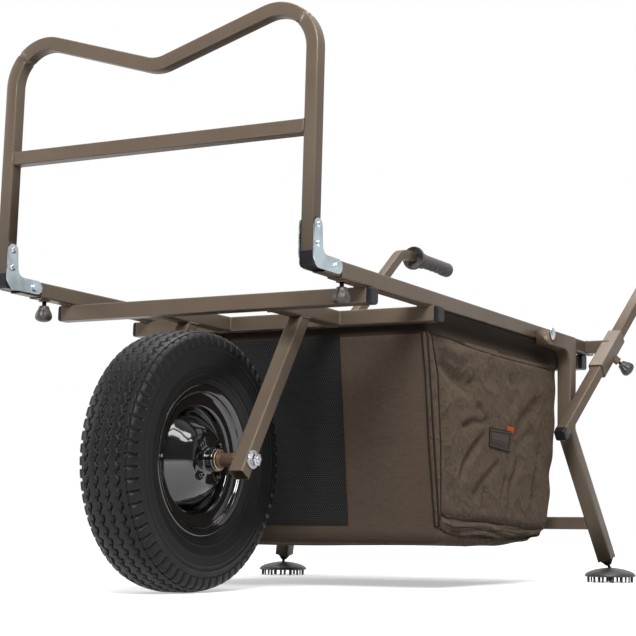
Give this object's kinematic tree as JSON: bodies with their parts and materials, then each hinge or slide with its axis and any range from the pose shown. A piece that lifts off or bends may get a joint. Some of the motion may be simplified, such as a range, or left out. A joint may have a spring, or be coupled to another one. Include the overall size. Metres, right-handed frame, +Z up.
{
  "type": "fishing trolley",
  "caption": "One-wheeled fishing tackle trolley: square-tube deck, folding front rack, zipped bag under the deck, folding spiked-foot legs and sliding grip handles.",
  "frame": {"origin": "on the ground under the middle of the trolley's length and width", "axes": "+Y to the rear (handle end), +Z up, +X to the side with its rail knob and mesh pocket seen in the picture"},
  "size_m": [0.845, 1.841, 0.8661],
  "materials": {
    "bronze": "satin bronze-olive metallic coat",
    "tyre": "matte rubber, ribbed tread",
    "rim": "gloss black",
    "steel": "bright zinc plate",
    "zinc": "satin zinc plate",
    "plastic": "matte black",
    "knob": "satin dark brown-black",
    "grip": "matte grey-mauve",
    "foot": "satin charcoal",
    "cloth": "matte woven olive brown"
  },
  "bodies": {
    "frame": {"axle_bolt": "steel", "bag": "cloth", "crossbar_front": "bronze", "crossbar_middle": "bronze", "crossbar_rear": "bronze", "crossbar_front_cap_near": "plastic", "crossbar_front_cap_far": "plastic", "crossbar_middle_cap_near": "plastic", "crossbar_middle_cap_far": "plastic", "crossbar_rear_cap_near": "plastic", "crossbar_rear_cap_far": "plastic", "spacer_near": "bronze", "spacer_far": "bronze", "strut_near": "bronze", "strut_far": "bronze", "fork_tube_near": "bronze", "fork_tube_far": "bronze", "rail_near": "bronze", "rail_far": "bronze", "rail_plug_near": "plastic", "rail_plug_far": "plastic", "handle_sleeve_near": "bronze", "handle_sleeve_far": "bronze", "leg_pivot_bolt_near": "steel", "leg_pivot_bolt_far": "steel"},
    "wheel": {"tyre": "tyre", "wheel_rim": "rim"},
    "rack_slide": {"slide_tube_near": "bronze", "slide_tube_far": "bronze"},
    "rack": {"rack_hoop": "bronze", "rack_bar": "bronze", "bracket_outer_near": "zinc", "bracket_outer_far": "zinc", "bracket_inner_near": "zinc", "bracket_inner_far": "zinc", "post_plug_near": "plastic", "post_plug_far": "plastic"},
    "legs": {"leg_bar": "bronze", "leg_near": "bronze", "leg_far": "bronze"},
    "rail_knob_near": {"rail_knob_near": "knob"},
    "handle_near": {"handle_near": "bronze", "handle_cap_near": "plastic", "handle_grip_near": "grip"},
    "handle_knob_near": {"handle_knob_near": "knob"},
    "leg_extension_near": {"leg_inner_near": "bronze", "leg_plug_near": "plastic"},
    "foot_near": {"foot_near": "foot"},
    "rail_knob_far": {"rail_knob_far": "knob"},
    "handle_far": {"handle_far": "bronze", "handle_cap_far": "plastic", "handle_grip_far": "grip"},
    "handle_knob_far": {"handle_knob_far": "knob"},
    "leg_extension_far": {"leg_inner_far": "bronze", "leg_plug_far": "plastic"},
    "foot_far": {"foot_far": "foot"}
  },
  "joints": [
    {"name": "wheel_spin", "type": "hinge", "parent": "frame", "child": "wheel", "pos_m": [0, -0.7205, 0.2], "axis": [1, 0, 0], "continuous": true},
    {"name": "rack_slide", "type": "slide", "parent": "frame", "child": "rack_slide", "axis": [0, -1, 0], "range_m": [0, 0.2]},
    {"name": "rack_fold", "type": "hinge", "parent": "rack_slide", "child": "rack", "pos_m": [0, -0.7715, 0.4764], "axis": [-1, 0, 0], "range_deg": [0, 90]},
    {"name": "leg_fold", "type": "hinge", "parent": "frame", "child": "legs", "pos_m": [0, -0.0085, 0.469], "axis": [-1, 0, 0], "range_deg": [0, 90], "deforming": ["bag"]},
    {"name": "rail_knob_near_turn", "type": "hinge", "parent": "frame", "child": "rail_knob_near", "pos_m": [0.2773, -0.7345, 0.45], "axis": [0, 0, -1], "range_deg": [0, 720]},
    {"name": "handle_slide_near", "type": "slide", "parent": "frame", "child": "handle_near", "axis": [0.0314, 0.7862, 0.6172], "range_m": [0, 0.18]},
    {"name": "handle_knob_near_turn", "type": "hinge", "parent": "frame", "child": "handle_knob_near", "pos_m": [0.34104, 0.2395, 0.45934], "axis": [0.6524, 0.4679, -0.5961], "range_deg": [0, 720]},
    {"name": "leg_extension_near", "type": "slide", "parent": "legs", "child": "leg_extension_near", "axis": [0.2381, 0.2223, -0.9455], "range_m": [0, 0.12]},
    {"name": "foot_tilt_near", "type": "hinge", "parent": "leg_extension_near", "child": "foot_near", "pos_m": [0.3725, 0.1685, 0.024], "axis": [1, 0, 0], "range_deg": [-15, 15]},
    {"name": "rail_knob_far_turn", "type": "hinge", "parent": "frame", "child": "rail_knob_far", "pos_m": [-0.2773, -0.7345, 0.45], "axis": [0, 0, -1], "range_deg": [0, 720]},
    {"name": "handle_slide_far", "type": "slide", "parent": "frame", "child": "handle_far", "axis": [-0.0314, 0.7862, 0.6172], "range_m": [0, 0.18]},
    {"name": "handle_knob_far_turn", "type": "hinge", "parent": "frame", "child": "handle_knob_far", "pos_m": [-0.34104, 0.2395, 0.45934], "axis": [-0.6524, 0.4679, -0.5961], "range_deg": [0, 720]},
    {"name": "leg_extension_far", "type": "slide", "parent": "legs", "child": "leg_extension_far", "axis": [-0.2381, 0.2223, -0.9455], "range_m": [0, 0.12]},
    {"name": "foot_tilt_far", "type": "hinge", "parent": "leg_extension_far", "child": "foot_far", "pos_m": [-0.3725, 0.1685, 0.024], "axis": [1, 0, 0], "range_deg": [-15, 15]}
  ]
}
